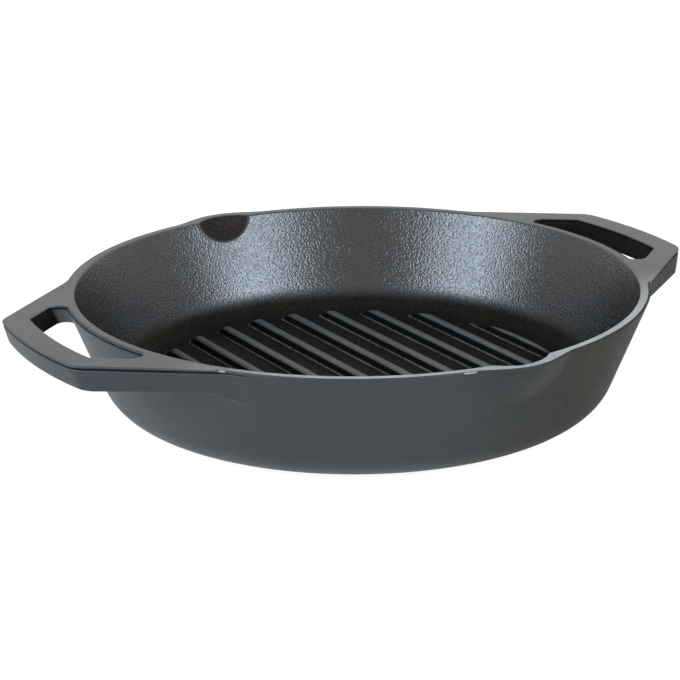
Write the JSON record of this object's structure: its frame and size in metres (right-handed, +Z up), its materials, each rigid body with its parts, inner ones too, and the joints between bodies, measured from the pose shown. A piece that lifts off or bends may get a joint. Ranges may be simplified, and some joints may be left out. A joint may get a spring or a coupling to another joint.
{
  "type": "grill pan",
  "caption": "Round cast iron grill pan with raised parallel ribs, a flared wall, two pour spouts and two flat loop handles level with the rim.",
  "frame": {"origin": "centre of the base's underside", "axes": "+X along the two handles, towards the right handle; +Y towards the rear pour spout; +Z up out of the bowl"},
  "size_m": [0.3284, 0.2786, 0.0532],
  "materials": {
    "rough_inside": "seasoned, pebbly sand-cast inside face, glossy",
    "satin_outside": "seasoned, fine sand-cast outside, satin, with ground rim and handle tops"
  },
  "bodies": {
    "root": {"pan_floor": "rough_inside", "side_wall": "satin_outside", "left_handle": "satin_outside", "right_handle": "satin_outside", "front_pour_spout": "satin_outside", "rear_pour_spout": "satin_outside", "grill_rib_01": "rough_inside", "grill_rib_02": "rough_inside", "grill_rib_03": "rough_inside", "grill_rib_04": "rough_inside", "grill_rib_05": "rough_inside", "grill_rib_06": "rough_inside", "grill_rib_07": "rough_inside", "grill_rib_08": "rough_inside", "grill_rib_09": "rough_inside", "grill_rib_10": "rough_inside", "grill_rib_11": "rough_inside"}
  },
  "joints": []
}
